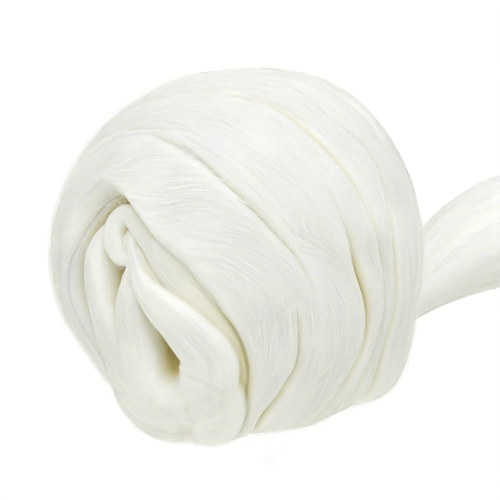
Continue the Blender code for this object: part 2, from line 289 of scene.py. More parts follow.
# slit: depth of its narrow bottom. lap: how far the outer turn lies over the inner one
# reach: how far a crease draws the skin down, on the side of the front pole and on the other
# knots: round the axis from the top towards the right, from the front pole, depth
creases = {
    "mouth of the bunch": {"slit": 0.0, "lap": 0.0, "reach": (6, 3.6), "knots": (
        (-154, 38, 1.5), (-143, 36, 1.5), (-131, 34, 1.5), (-118, 35, 1.5), (-106, 38, 1.8), (-96, 41, 2),
        (-84, 42.6, 3), (-76, 42, 4), (-67, 41.2, 5), (-60, 43.2, 6), (-53, 44.6, 7), (-46, 45.8, 7.5),
        (-39, 46, 7.5), (-33, 43, 6.5), (-26, 36.5, 5), (-17, 29.7, 4), (-7, 24.7, 3.4), (7, 22.3, 3.2),
        (17, 21.3, 3), (41, 19.8, 3), (73, 22, 3), (99, 28, 3.2), (116, 32.8, 3.6), (125, 35, 3.8),
        (134, 38, 3.6), (142, 43, 3.4), (150, 48, 3.2), (158, 53, 3), (168, 56, 2), (180, 50, 1.5),
        (195, 42, 1.5))},
    "short lower crease": {"slit": 0.6, "lap": 0.2, "reach": (3.2, 2.6), "knots": (
        (-115, 47, 0), (-90, 49, 0), (-60, 50, 0), (-36, 50, 0), (0, 40, 0), (30, 37, 0), (55, 40.5, 0),
        (66, 42.8, 0), (75, 43.9, 0.3), (83, 44.5, 1.2), (90, 44.8, 1.8), (98, 45, 1.8), (105, 46.3, 1.9),
        (118, 44.8, 2.2), (126, 46, 2.5), (137, 46.5, 2.5), (148, 53, 2.3), (158, 60, 2), (180, 66, 1),
        (205, 60, 0.5), (225, 52, 0))},
    "long diagonal crease": {"slit": 0.45, "lap": 0.15, "reach": (3.4, 2), "knots": (
        (-115, 56, 0), (-60, 60, 0), (-40, 61, 0), (-19, 59.7, 0.4), (-11, 56, 0.8), (-5, 54.1, 1.1),
        (4, 52, 1.3), (11, 49.2, 1.3), (18, 47.6, 1.3), (26, 46.7, 1.3), (34, 46.1, 1.3), (42, 46, 1.3),
        (49, 46.5, 1.3), (58, 47.9, 1.1), (67, 49, 0.6), (75, 50, 0.2), (85, 51, 0), (95, 52, 0),
        (120, 55, 0), (156, 65, 0), (180, 70, 1), (205, 70, 1.5), (225, 65, 0.5))},
    "faint upper crease": {"slit": 0.0, "lap": 0.0, "reach": (3, 8), "knots": (
        (-115, 68, 0), (-60, 70, 0.3), (-42, 67.5, 1), (-36, 66, 1.4), (-30, 64.3, 1.6), (-22, 62, 1.4),
        (-15, 60.7, 1), (-7, 60, 0.6), (5, 58, 0), (20, 55, 0), (47, 54, 0), (71, 57, 0), (105, 60, 0),
        (136, 63, 0), (156, 70, 0), (180, 73, 0.5), (225, 72, 0.6))},
    "deep right-hand crease": {"slit": 0.8, "lap": 0.2, "reach": (6.5, 3.6), "knots": (
        (-60, 75, 0), (0, 71, 0), (25, 71, 0), (37, 70, 0), (46, 68.4, 0.2), (54, 66.8, 0.5),
        (61, 67.2, 1.2), (67, 67.4, 2.6), (74, 67.2, 3.5), (83, 68.9, 3.7), (92, 69.8, 3.2),
        (103, 69.8, 2), (112, 67.4, 1.5), (120, 66.5, 1.5), (130, 69, 1.6), (141, 72, 1.4),
        (160, 75, 1.2), (180, 77, 1), (225, 80, 0.8), (270, 78, 0.5))},
    "upper right crease": {"slit": 0.8, "lap": 0.3, "reach": (3.4, 2.4), "knots": (
        (-60, 80, 0.5), (-20, 78, 0.7), (-6, 78.4, 1), (3, 79, 1.3), (9, 80.3, 1.6), (21, 80.3, 1.9),
        (30, 77.8, 2.2), (38, 79, 2.1), (48, 77.9, 1.7), (58, 76.4, 1.1), (67, 76, 0.8), (80, 76.5, 0.8),
        (90, 75.5, 1.2), (100, 74.5, 1.6), (112, 73.5, 2), (125, 73.5, 2.4), (141, 77, 2.4), (160, 81, 2),
        (180, 84.5, 1.2), (225, 88, 1.5), (270, 85, 1.2))},
    "outer right crease": {"slit": 0.6, "lap": -0.3, "reach": (5, 4), "knots": (
        (-60, 94, 0.8), (-20, 93, 0.6), (5, 95.5, 0.5), (17, 94.6, 0.6), (28, 91.8, 0.6), (35, 91.5, 0.5),
        (45, 95, 0.5), (54, 92.5, 1), (63, 88, 1.8), (72, 84, 2.2), (80, 83, 2.4), (90, 82.5, 2.4),
        (97, 81, 2.4), (106, 79.5, 2.6), (115, 80, 3), (125, 82, 3), (141, 88, 2.5), (160, 98, 2),
        (180, 106, 1.5), (225, 103, 2.5), (270, 97, 2))},
    "first back crease": {"slit": 1.3, "lap": 0.5, "reach": (6, 5), "knots": (
        (0, 107, 2.4), (60, 112, 2.6), (120, 106, 3.4), (180, 120, 2.6), (240, 116, 3.2), (300, 108, 2.4))},
    "second back crease": {"slit": 1.3, "lap": -0.5, "reach": (5, 6), "knots": (
        (0, 124, 3.4), (60, 124, 2.6), (120, 119, 3.4), (180, 132, 3.2), (240, 131, 2.6), (300, 125, 3.2))},
    "third back crease": {"slit": 1.3, "lap": 0.5, "reach": (6, 5), "knots": (
        (0, 141, 3.4), (60, 137, 3.4), (120, 134, 2.6), (180, 143, 3.4), (240, 146, 3.2), (300, 143, 2.6))},
    "back pit": {"slit": 1.2, "lap": 0.4, "reach": (5, 6), "knots": (
        (0, 160, 4), (60, 155, 3.4), (120, 153, 4), (180, 158, 4), (240, 163, 3.4), (300, 163, 4))},
}

turnShape = {
    "knotSmoothing": (-6, -4, -2, 0, 2, 4, 6),   # places round the axis that a crease's line is the mean of
    "shoulder": 0.35,        # share of the drop to a crease that is gentle
    "slitReach": 0.9,
    "slitEdge": 1.4,
    "paintedShadeReach": 1.6,        # width of the painted warm shade along a crease's slit, and the sunk depth that it is painted as
    "paintedCreaseShade": 2.6,
    "hollowCell": 0.6,
    # spread of the wool that a hollow is measured against, share
    "hollowSpreads": ((2.5, 1.0), (8.0, 1.3)),
    "lapReach": (0.5, 5.0),  # where the overlying edge starts to stand proud, and how far it does
    "fullSlitDepth": 3.0,    # a crease this deep has its whole slit and lap
    "fullCrownDepth": 2.5,   # a turn between creases this deep has its whole crown
    "backPitDepth": 8.0,
    "bunchFloorDepth": 15.0,
    "bunchWall": 2.5,        # width of the wall round the bunch's floor
    "narrowest": 0.15,       # share of its mean width that a turn keeps for its relief
    "calmDepth": 4,          # sunk depth at which the relief is halved
    "unevenness": (0.5, 3.1, 9),   # height, how often over the ball, shift
    # across, rise, out on the front view; swelling; spread
    "swellings": ((36, 50, 4, 2.9, 27), (48, -40, 4, 4.8, 16), (-46, -34, 5, -2.6, 20), (8, -57, 3, -3.0, 12),
                  (12, -21, 50, -2.2, 9), (30, -4, 45, -2.0, 10), (38, 8, 37, 1.2, 6),
                  (46.6, 17.5, 25, -1.4, 7), (34, -48, 4, -2.0, 9)),
    "stray": (1.4, 2.2),     # how far the streaks sway across a turn, how often over the ball
    "steepest": 8,           # slope of the fibres across a turn
    "driftFade": 25.0,       # width past the long diagonal crease over which the sliding ends
    "driftHeld": 1.2,        # where that crease is this deep, nothing past it slides
    # round the axis, how far the fibres have slid across the turn inside the long diagonal crease
    "drift": ((-60, 0), (-30, 2), (-10, 8), (15, 17), (40, 23), (60, 25), (120, 22), (180, 12), (240, 4)),
}

# the doubled bunch in the mouth, and the strap over the back
# drop: how far its edges lie below its crest, for a half width of 1. fall: slope of its sides below the edges
# blend: height over which it runs into what lies under it. like: strand whose fibres it carries on
# rows: x, y, z of the crest from the ball's centre, half width
bunch = {
    "inner_fold": {"drop": 0.4, "fall": 3, "blend": 3, "rows": (
        (-30.5, -37.5, 12, 2), (-29.9, -39, 6.3, 3.2), (-28.2, -41.4, 0.9, 4), (-26.5, -42.8, -5.1, 4.4),
        (-25.5, -43.6, -10.8, 4.4), (-25, -44, -16.1, 4))},
    "loop": {"drop": 0.5, "fall": 6, "blend": 1.2, "rows": (
        (-30.8, -38.3, 17.2, 1.4), (-31.7, -39.6, 13.9, 2.5), (-32.3, -40.9, 10, 3.6),
        (-32.7, -41.9, 5.2, 5), (-32.5, -43.1, -0.2, 6.2), (-32, -44.4, -5.6, 7.2), (-31, -46, -11, 7.9),
        (-29.8, -48, -16.6, 7.6), (-27.2, -50.2, -21.5, 7), (-22.8, -52.8, -23.8, 6.4),
        (-17.5, -55.4, -23.6, 6.2), (-12.3, -58.2, -20.2, 6.8), (-8.8, -60.1, -14, 8),
        (-8.2, -61, -7.6, 8.6), (-9.3, -60, -2.2, 8.2), (-13, -58.1, 2.3, 7.6), (-17.6, -55.5, 6.7, 6.7),
        (-22.5, -52.1, 10, 5.4), (-26.7, -47.6, 13.1, 3.7), (-29, -43.4, 16, 2.6),
        (-30.1, -39.8, 19, 1.9), (-30.8, -36.6, 21.9, 1.4), (-30.6, -34.5, 24.5, 1.2))},
    "left_lobe": {"drop": 0.45, "fall": 3, "blend": 4, "like": "loop", "rows": (
        (-30.5, -43.5, -12, 6.5), (-29.5, -46.5, -18, 8.5), (-28, -48.3, -24, 9.5),
        (-27, -46, -31.5, 12.2), (-28, -36.5, -41, 14), (-28.5, -27, -48, 14), (-24, -12, -56, 12))},
    "right_lobe": {"drop": 0.45, "fall": 3.5, "blend": 2.5, "like": "loop", "rows": (
        (-8.5, -56.5, -9, 7), (-7.5, -58.2, -15.5, 8.4), (-7, -58.2, -21, 8.8), (-6.8, -55, -27.5, 9),
        (-8.6, -43, -41.5, 8.8), (-10, -27, -51.5, 8.6), (-8, -14, -55, 8))},
    "under_rim": {"drop": 0.3, "fall": 1.6, "blend": 2.5, "rows": (
        (-22.6, -41.6, 25.6, 1.8), (-17.7, -45, 23.1, 2.4), (-13.1, -48, 19.4, 2.6),
        (-8.7, -50.8, 14.2, 2.6), (-4.3, -52.7, 8.4, 2.6), (-0.2, -53.4, 2.5, 2.6),
        (2.2, -53.1, -3.3, 2.6), (3.3, -52.1, -9.6, 2.4), (3.6, -49.9, -17.6, 2.2), (3, -46.3, -26.6, 2),
        (2.3, -39.2, -37, 1.8))},
    "under_arch": {"drop": 0.3, "fall": 1.6, "blend": 2.5, "rows": (
        (-29.6, -35, 22.5, 1.2), (-28.2, -37.8, 20.6, 1.5), (-26.1, -41, 17.5, 2),
        (-22.9, -44, 15.2, 2.1), (-18.9, -46.8, 12.9, 2), (-14.7, -49.4, 11, 2), (-10.5, -51.7, 8.5, 1.9))},
    "in_hook": {"drop": 0.3, "fall": 1.6, "blend": 2, "rows": (
        (-31.5, -32, 24.5, 1.2), (-32.4, -32.6, 22, 1.6), (-32.6, -33.8, 18.5, 1.6))},
    "arch": {"drop": 0.55, "fall": 4, "blend": 1.4, "rows": (
        (-32, -36, 17.8, 2), (-35, -33.5, 17.8, 2.9), (-37, -31.3, 20.2, 3.6), (-37.5, -29.2, 23.5, 3.7),
        (-36.3, -28, 27.1, 3.6), (-33.6, -28.7, 29.8, 3.4), (-30.8, -31.8, 29.9, 3.5),
        (-28, -35.8, 28, 3.6), (-25, -39.8, 25.3, 3.8), (-22.3, -43.5, 22, 4), (-19.1, -46.7, 18.5, 4),
        (-15.4, -49.6, 15.5, 3.9), (-11.1, -52, 12.3, 3.8), (-7.1, -53.7, 8.3, 3.5),
        (-3.4, -54.8, 3.7, 3.1), (-0.5, -55, -1.6, 2.7), (1.2, -54.3, -8.4, 2.5), (2, -52.7, -15.5, 2.4),
        (2.3, -49.7, -23, 2.3), (1.7, -44, -32.3, 2))},
    "outer_arm": {"drop": 0.55, "fall": 4, "blend": 2.5, "rows": (
        (-39.7, -25.8, 21.9, 2.4), (-41.5, -26.3, 18.8, 3.6), (-43.1, -27.3, 15.3, 4.6),
        (-43.7, -28.9, 11.4, 5.2), (-43.7, -31.3, 7.3, 5.3), (-43.1, -33.8, 2.6, 5.4),
        (-41.9, -36.2, -2.1, 5.8), (-40.5, -38, -7.3, 6.6), (-38.8, -39.2, -12.8, 7.8),
        (-36.8, -40.5, -18.6, 9), (-35.2, -40.3, -25, 10.5), (-33.3, -37.4, -32.3, 11.5),
        (-31.8, -31.8, -39, 12))},
    "back_strap": {"drop": 0.45, "fall": 3.6, "blend": 1.0, "rows": (
        (-34, 20.5, 39, 7), (-23.5, 35, 36.5, 12), (-10, 48, 34.5, 14), (8, 56, 23, 14.3),
        (22, 56, 5, 13.5), (34, 50, -15, 12.5), (41.5, 36, -32, 11), (42, 20, -43, 8))},
}
bunchShape = {
    "step": 0.8,
    "beyond": 0.6,          # share of a step that a section reaches past its own place
    "fullness": 2.2,        # 2 is an oval section, more is a flatter top
    "edge": 0.985,          # share of the half width where the section gives way to its sides
    "relief": 1.25,
    "sway": (0.4, 9),       # how far its streaks sway, length of a sway
    "gathers": (7, 16, 0.25),   # across the bend of the loop: spacing, length, height
    "puckerEdge": 1.4,
}
# sharp puckers pressed into the loop. depth, half width, and a line of x, y, z from the ball's centre
puckers = (
    (0.9, 0.8, ((-14, -58, -17), (-14, -57, -20), (-13, -56, -24), (-13, -53, -30), (-14, -46, -37),
                (-14, -30, -49))),
    (0.8, 1.0, ((-16, -55, -8), (-13, -57, -8), (-9, -58, -9), (-4, -59, -12))),
    (0.5, 0.7, ((-23, -51, -18), (-24, -51, -20), (-26, -50, -24))),
    (0.35, 1.4, ((-21, -51, -24), (-22, -49, -31), (-23, -44, -38))),
    (0.7, 1.1, ((-31, -41, 13), (-30, -43, 9), (-30, -44, 2), (-30, -46, -3), (-28, -47, -9))),
)


def windingFrame():                              # the ball's axis, and what is up and sideways round it
    axis = unit(ball["axis"])
    upward = unit(np.array((0.0, 0.0, 1.0)) - axis * axis[2])
    return axis, upward, np.cross(upward, axis)


def swelling(direction):                         # where the ball is fuller or flatter than a round one
    tilt = math.radians(picture["elevation"])
    total = np.zeros(direction.shape[:-1])
    for across, rise, out, size, spread in turnShape["swellings"]:
        middle = unit((across, rise * math.sin(tilt) - out * math.cos(tilt),
                       rise * math.cos(tilt) + out * math.sin(tilt)))
        angle = np.degrees(np.arccos(np.clip(direction @ middle, -1, 1)))
        total += size * np.exp(-((angle / spread) ** 2))
    return total


def creaseLine(knots, around):                   # distance from the front pole and depth, round the axis
    places, distances, depths = np.array(sorted((p % 360, d, deep) for p, d, deep in knots), dtype=float).T
    turned = [around + shift for shift in turnShape["knotSmoothing"]]
    distance = np.mean([np.interp(a, places, distances, period=360) for a in turned], axis=0)
    depth = np.mean([np.interp(a, places, depths, period=360) for a in turned], axis=0)
    return np.radians(distance), depth


def drawnDown(gap, depth, reach):                # round shoulder that ends upright at the crease
    edge, gentle = 1 - np.minimum(1, gap / reach), turnShape["shoulder"]
    return depth * (gentle * edge**2 + (1 - gentle) * (1 - np.sqrt(1 - edge**2)))


def turnSkin():                                  # each vertex of the turns, row by row from the front pole
    axis, upward, sideways = windingFrame()
    around = np.linspace(0, 360, turnColumns, endpoint=False)
    lines = [creaseLine(crease["knots"], around) for crease in creases.values()]
    none = np.zeros(len(around))
    flat = {"slit": 0, "lap": 0, "reach": (6, 6)}   # the two poles
    limits = [none] + [line[0] for line in lines] + [none + np.pi]
    depths = [none] + [line[1] for line in lines] + [none + turnShape["backPitDepth"]]
    edges = [flat, *creases.values(), flat]
    radius = ball["radius"]
    slid = np.interp(around, *np.array(turnShape["drift"]).T, period=360)
    openness = 1 - np.clip(depths[3] / turnShape["driftHeld"], 0, 1)
    lapStart, lapReach = turnShape["lapReach"]
    offset, held = 0.0, 1.0
    blocks = []
    for number, (rows, crown) in enumerate(turns):
        share = np.linspace(0, 1, rows, endpoint=number == len(turns) - 1)[:, None]
        if number > 0:                           # rows lie closer near the creases
            share = 0.5 * share + 0.25 * (1 - np.cos(np.pi * share))
        near, far = limits[number], limits[number + 1]
        along = near + share * (far - near)
        height = np.zeros(along.shape)
        closeness = np.zeros(along.shape)
        if number == 0:
            wall = np.clip((far - along) * radius / turnShape["bunchWall"], 0, 1)
            wall = wall * wall * (3 - 2 * wall)
            height = -depths[1] - (turnShape["bunchFloorDepth"] - depths[1]) * wall
        else:
            shallower = np.minimum(depths[number], depths[number + 1])
            fullness = np.minimum(1, shallower / turnShape["fullCrownDepth"])
            height += crown * (1 - (2 * share - 1) ** 2) * fullness
            for limit, depth, edge, sign in ((far, depths[number + 1], edges[number + 1], 1),
                                             (near, depths[number], edges[number], -1)):
                gap = np.abs(along - limit) * radius
                full = np.minimum(1, depth / turnShape["fullSlitDepth"])
                height -= drawnDown(gap, depth, edge["reach"][0 if sign > 0 else 1])
                # the wool near a slit is marked for painted shade along the crease, and loose fibres keep off
                # it
                if edge["slit"]:
                    closeness = np.maximum(closeness, full * np.exp(-((gap / turnShape["paintedShadeReach"]) ** 2)))
                slit = np.exp(-(gap / turnShape["slitReach"]) ** turnShape["slitEdge"])
                height -= edge["slit"] * full * slit
                height += (sign * edge["lap"] * full * np.exp(-(gap / lapReach) ** 2)
                           * (1 - np.exp(-((gap / lapStart) ** 2))))
        width = np.mean(np.abs(far - near)) * radius
        if number > 2:                           # past the long diagonal crease
            held = np.clip(1 - (along - limits[3]) * radius / turnShape["driftFade"], 0, 1) * openness
        across = offset + share * width - slid * held
        offset += width
        slope = -np.gradient(across, axis=1) / np.maximum(np.gradient(across, axis=0), 1e-3)
        slope = np.clip(slope, -turnShape["steepest"], turnShape["steepest"])
        narrow = np.clip((far - near) * radius / width, turnShape["narrowest"], 1) + 0 * share
        blocks.append((along, height, across, slope, narrow, closeness))
    along, height, across, slope, narrow, closeness = [np.vstack(block) for block in zip(*blocks)]
    turned = np.radians(around)[None, :, None]
    outward = upward * np.cos(turned) + sideways * np.sin(turned)
    direction = axis * np.cos(along)[..., None] + outward * np.sin(along)[..., None]
    slow = radius * np.sin(along) / strands["stretch"]
    across = across + turnShape["stray"][0] * grain(direction, turnShape["stray"][1])
    fibre = np.stack((slow * np.cos(turned[..., 0]), slow * np.sin(turned[..., 0]), across), axis=-1)
    way = (np.roll(direction, -1, axis=1) - np.roll(direction, 1, axis=1)) / 2
    way = unit(way + slope[..., None] * np.gradient(direction, axis=0))
    return direction, height, fibre, way, narrow, closeness


def strandHeights(direction, strand, number):    # height, fibre coordinates, way and run of one strand
    line = smoothLine(strand["rows"], bunchShape["step"])
    reach = np.linalg.norm(line[:, :3], axis=1)
    crest, width = unit(line[:, :3]), line[:, 3]
    tangent = unit(np.gradient(crest, axis=0))
    slopes = np.gradient(np.stack((reach, width)), axis=1)
    nearest = np.argmax(direction @ crest.T, axis=1)
    offset = (direction - crest[nearest]) * ball["radius"]
    tangent, width, reach = tangent[nearest], width[nearest], reach[nearest]
    forward = (offset * tangent).sum(axis=1)
    across = (offset * np.cross(crest[nearest], tangent)).sum(axis=1)
    beyond = np.clip(forward / bunchShape["step"], -bunchShape["beyond"], bunchShape["beyond"])
    width = width + beyond * slopes[1][nearest]
    reach = reach + beyond * slopes[0][nearest]
    distance = np.linalg.norm(offset - tangent * (beyond * bunchShape["step"])[:, None], axis=1)
    power = bunchShape["fullness"]
    inner = np.minimum(distance / width, bunchShape["edge"])
    height = reach - ball["radius"] - strand["drop"] * width * (1 - (1 - inner**power) ** (1 / power))
    height -= strand["fall"] * np.maximum(0, distance - width)
    run = nearest * bunchShape["step"] + forward
    sway, length = bunchShape["sway"]
    fibre = np.stack((run / strands["stretch"] + 3 * number, across + sway * np.sin(run / length), 0 * run),
                     axis=1)
    return height, fibre, tangent, run, across


def layBunch(direction, height, fibre, way):     # each strand rises out of what is already there
    shape = direction.shape[:-1]
    direction, height = direction.reshape(-1, 3), height.reshape(-1)
    fibre, way = fibre.reshape(-1, 3), way.reshape(-1, 3)
    relief = strandRelief(fibre)
    covered = np.zeros(len(height))
    fields = {}
    for number, (name, strand) in enumerate(bunch.items()):
        fields[name] = strandHeights(direction, strand, number)
        raised, strandFibre, strandWay, run, across = fields[name]
        if "like" in strand:
            _, strandFibre, strandWay, run, across = fields[strand["like"]]
            spacing, length, size = bunchShape["gathers"]
            gathered = np.stack((run / spacing, across / length, 0 * run), axis=1)
            raised = raised + size * grain(gathered, 1.0, number)
        gap = raised - height
        mix = np.clip(0.5 + gap / strand["blend"] / 2, 0, 1)
        over = gap > 0
        height = height + gap * mix + strand["blend"] * mix * (1 - mix)
        fibre = np.where(over[:, None], strandFibre, fibre)
        way = np.where(over[:, None], strandWay, way)
        fresh = np.zeros(len(height))
        fresh[over] = bunchShape["relief"] * strandRelief(strandFibre[over])
        relief = relief + (fresh - relief) * mix
        covered = np.maximum(covered, mix)
    for depth, spread, rows in puckers:
        line = smoothLine(rows, bunchShape["step"])
        gap = np.degrees(np.arccos(np.clip((direction @ unit(line).T).max(axis=1), -1, 1)))
        pressed = np.exp(-np.abs(np.radians(gap) * ball["radius"] / spread) ** bunchShape["puckerEdge"])
        height = height - depth * pressed
    return (height.reshape(shape), fibre.reshape(*shape, 3), way.reshape(*shape, 3), relief.reshape(shape),
            covered.reshape(shape))


def hollowness(direction, height):               # how far each place lies below the wool round it, mm
    axis, upward, sideways = windingFrame()
    cell = turnShape["hollowCell"]
    away = np.arccos(np.clip(direction @ axis, -1, 1)) * ball["radius"] / cell
    places = unit(np.stack((direction @ sideways, direction @ upward), axis=-1)) * away[..., None]
    half = int(math.pi * ball["radius"] / cell) + 2
    column, row = np.moveaxis(places.round().astype(int) + half, -1, 0)
    total, count = np.zeros((2, 2 * half + 1, 2 * half + 1))
    np.add.at(total, (row, column), height)
    np.add.at(count, (row, column), 1)
    fields = np.stack((total / np.maximum(count, 1), np.minimum(count, 1)))
    sunk = np.zeros(height.shape)
    for spread, share in turnShape["hollowSpreads"]:
        kernel = np.exp(-0.5 * (np.arange(-3 * spread, 3 * spread + cell, cell) / spread) ** 2)
        soft = fields
        for sweep in (2, 1):
            soft = np.apply_along_axis(np.convolve, sweep, soft, kernel, "same")
        sunk += share * np.maximum(0, (soft[0] / np.maximum(soft[1], 1e-6))[row, column] - height)
    return sunk


def makeBall():
    direction, height, fibre, way, narrow, closeness = turnSkin()
    height, fibre, way, relief, covered = layBunch(direction, height, fibre, way)
    closeness = closeness * (1 - covered)
    # sunk adds painted shade along the creases' slits to the depth of each hollow; the materials darken and
    # yellow the wool by it
    sunk = hollowness(direction, height) + turnShape["paintedCreaseShade"] * closeness
    calm = narrow / (1 + sunk / turnShape["calmDepth"])
    size, often, shift = turnShape["unevenness"]
    height = height + relief * calm + size * grain(direction, often, shift)
    points = direction * (ball["radius"] + swelling(direction) + height)[..., None] + np.array(ball["centre"])
    points = restOnFloor(points, ball["floorRounding"])
    starts = np.concatenate(([0], np.cumsum([rows for rows, _ in turns])))
    parts = (("bunch_of_loops", 0, starts[1] + 1), ("front_turns", starts[1], starts[frontTurns] + 1),
             ("back_turns", starts[frontTurns], starts[-1]))
    for name, low, high in parts:
        faces = ringFaces(high - low, turnColumns).tolist()
        block = [array[low:high].copy() for array in (points, fibre, sunk)]
        if low == 0:
            block, faces = closePole(block, faces, 0)
        if high == starts[-1]:
            block, faces = closePole(block, faces, -1)
        piece = newPiece(name, block[0] * mm, faces, block[1], block[2])
        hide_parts("wound_ball")
    return points, fibre, sunk, way, closeness


def closePole(block, faces, end):                # the ring of a pole becomes one vertex
    points, fibre, sunk = block
    for array in block:
        array[end] = array[end].mean(axis=0)
    total = points.shape[0] * turnColumns
    if end == 0:
        shift = turnColumns - 1
        keep = np.concatenate(([0], np.arange(turnColumns, total)))
        faces = [[0, a - shift, b - shift] for _, _, a, b in faces[:turnColumns]] + [
            [corner - shift for corner in face] for face in faces[turnColumns:]]
    else:
        keep = np.arange(total - turnColumns + 1)
        faces = faces[:-turnColumns] + [[a, b, total - turnColumns] for a, b, _, _ in faces[-turnColumns:]]
    return (points.reshape(-1, 3)[keep], fibre.reshape(-1, 3)[keep], sunk.reshape(-1)[keep]), faces


ballPoints, ballFibre, ballSunk, ballWay, ballCloseness = makeBall()
print("ball wound")

# how many; length; half width; height of the ridge for a half width of 1; how high the middle stands off the
# wool; how far the ends do; how much it strays (radians); on the side that the front pole is on, or the other
looseFibres = {
    "front_strands": {"count": 5000, "length": (9, 26), "radius": (0.05, 0.14), "low": 0.3, "lift": (0, 0.04),
                      "rise": (-0.08, 0), "stray": 0.04, "front": True},
    "back_strands": {"count": 3500, "length": (9, 28), "radius": (0.05, 0.16), "low": 0.3, "lift": (0, 0.04),
                     "rise": (-0.08, 0), "stray": 0.04, "front": False},
    "flyaways": {"count": 5000, "length": (6, 22), "radius": (0.02, 0.035), "low": 1.2, "lift": (0.1, 1.3),
                 "rise": (-0.1, 1.0), "stray": 0.35, "front": None},
}
# wisps that bridge the hollows and creases. how many, how far they spread round their line, and the line from
# the ball's centre
wisps = (
    (14, 4.0, ((-39.7, -27.1, 25.9), (-37.4, -28.8, 31.3), (-32.7, -31.4, 35.5))),
    (12, 4.0, ((-35, -31, 33.8), (-31.5, -33.5, 34.5), (-28, -36.5, 33.5))),
    (10, 3.2, ((-35.9, -36.5, 17.2), (-33.1, -39.4, 17.2), (-30.2, -42.4, 20.5))),
    (14, 3.0, ((14.1, -56.2, 9.9), (16.3, -56, 12.7), (18.9, -54.6, 13.3))),
    (14, 3.4, ((17.5, -54.2, 14.5), (18.7, -55.4, 9.2), (19.6, -55.6, 2.7))),
    (12, 3.4, ((31.7, -40.9, 28.1), (33.8, -41.4, 25), (35.6, -42, 19.2))),
    (14, 4.0, ((2.2, -40.9, 42.5), (6.6, -43.3, 39.6), (11.5, -46, 35.6))),
    (14, 4.0, ((-15.5, -50.6, 24.5), (-10.5, -53.5, 19.5), (-5.5, -55.5, 13.5))),
    (9, 4.0, ((7, -33.5, -50.5), (11.2, -35, -52.2), (15.3, -33.5, -51.5))),
)
wispShape = {"radius": (0.02, 0.035), "low": 1.2, "bow": 1.2}
# a fibre that crosses a crease, steps down too far or curls back is left out, so spare ones are drawn
fibreLimits = {"spare": 1.4, "step": 1.0, "sunk": 3.0, "straight": 0.93, "closeness": 0.5, "curl": 5,
               "streak": 0.8, "front": (-0.1, -0.85, 0.5), "frontEdge": 0.05}


def layFibres(name, plan, tree, flat):
    points, fibre, sunk, way, closeness = flat
    centre = np.array(ball["centre"])
    reach = np.linalg.norm(points - centre, axis=1)
    count = round(plan["count"] * fibreLimits["spare"])
    starts = unit(chance.normal(size=(count * 3, 3)))
    if plan["front"] is not None:
        facing = starts @ unit(fibreLimits["front"])
        starts = starts[(facing > fibreLimits["frontEdge"]) == plan["front"]]
    starts = starts[:count]
    length = chance.uniform(*plan["length"], count)
    turnBy = chance.normal(0, plan["stray"], count)
    curl = chance.normal(0, plan["stray"], count)
    lift = chance.uniform(*plan["lift"], count)
    rise = chance.uniform(*plan["rise"], (2, count))
    place, outward, heights, found = starts, [], [], []
    for step in range(fibreSteps):
        nearest = np.array([tree.find(spot)[1] for spot in place.tolist()])
        share = step / (fibreSteps - 1)
        ends = max(0, 1 - share * 3) * rise[0] + max(0, share * 3 - 2) * rise[1]
        heights.append(reach[nearest] + lift * math.sin(math.pi * share) + ends)
        outward.append(place)
        found.append(nearest)
        angle = turnBy + curl * math.sin(share * fibreLimits["curl"])
        forward = way[nearest]
        forward = forward * np.cos(angle)[:, None] + np.cross(place, forward) * np.sin(angle)[:, None]
        place = unit(place + forward * (length / (fibreSteps - 1) / ball["radius"])[:, None])
    outward, heights, found = [np.stack(rows, axis=1) for rows in (outward, heights, found)]
    lines = centre + outward * heights[..., None]
    run = np.linalg.norm(np.diff(lines, axis=1), axis=2).sum(axis=1)
    straight = np.linalg.norm(lines[:, -1] - lines[:, 0], axis=1) / run
    keep = ((np.abs(np.diff(heights, axis=1)).max(axis=1) < fibreLimits["step"])
            & (sunk[found].max(axis=1) < fibreLimits["sunk"]) & (straight > fibreLimits["straight"])
            & (closeness[found].max(axis=1) < fibreLimits["closeness"]))
    keep = np.flatnonzero(keep)[:plan["count"]]
    lines[..., 2] = np.maximum(lines[..., 2], plan["radius"][1])
    radii = chance.uniform(*plan["radius"], count)
    fibre = fibre[found] + chance.normal(0, fibreLimits["streak"], (count, 1, 3)) * (0, 1, 1)
    makeFibres(name, lines[keep], outward[keep], radii[keep], fibre[keep], sunk[found][keep], plan["low"])
    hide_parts("wound_ball")


def layWisps():
    share = np.linspace(0, 1, fibreSteps)[None, :, None]
    bundles = []
    for count, spread, (first, middle, last) in wisps:
        ends = np.array((first, 2 * np.array(middle) - (np.array(first) + last) / 2, last))
        stray = chance.normal(0, spread * 0.5, (3, count, 1, 3)) + ends[:, None, None]
        bundles.append(stray[0] * (1 - share) ** 2 + stray[1] * 2 * share * (1 - share) + stray[2] * share**2)
    lines = np.concatenate(bundles)
    outward = unit(lines)
    bow = chance.uniform(0, wispShape["bow"], (len(lines), 1, 1))
    lines = lines + outward * bow * np.sin(np.pi * share) + ball["centre"]
    radii = chance.uniform(*wispShape["radius"], len(lines))
    lines[..., 2] = np.maximum(lines[..., 2], wispShape["radius"][1])
    none = np.zeros(lines.shape[:2])
    makeFibres("wisps", lines, outward, radii, lines / strands["stretch"], none, wispShape["low"])
    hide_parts("wound_ball")


def coverBall():
    flat = (ballPoints.reshape(-1, 3), ballFibre.reshape(-1, 3), ballSunk.reshape(-1), ballWay.reshape(-1, 3),
            ballCloseness.reshape(-1))
    tree = kdtree.KDTree(len(flat[0]))
    for number, direction in enumerate(unit(flat[0] - ball["centre"]).tolist()):
        tree.insert(direction, number)
    tree.balance()
    for name, plan in looseFibres.items():
        layFibres(name, plan, tree, flat)


layWisps()
coverBall()
print("loose fibres laid on the ball")


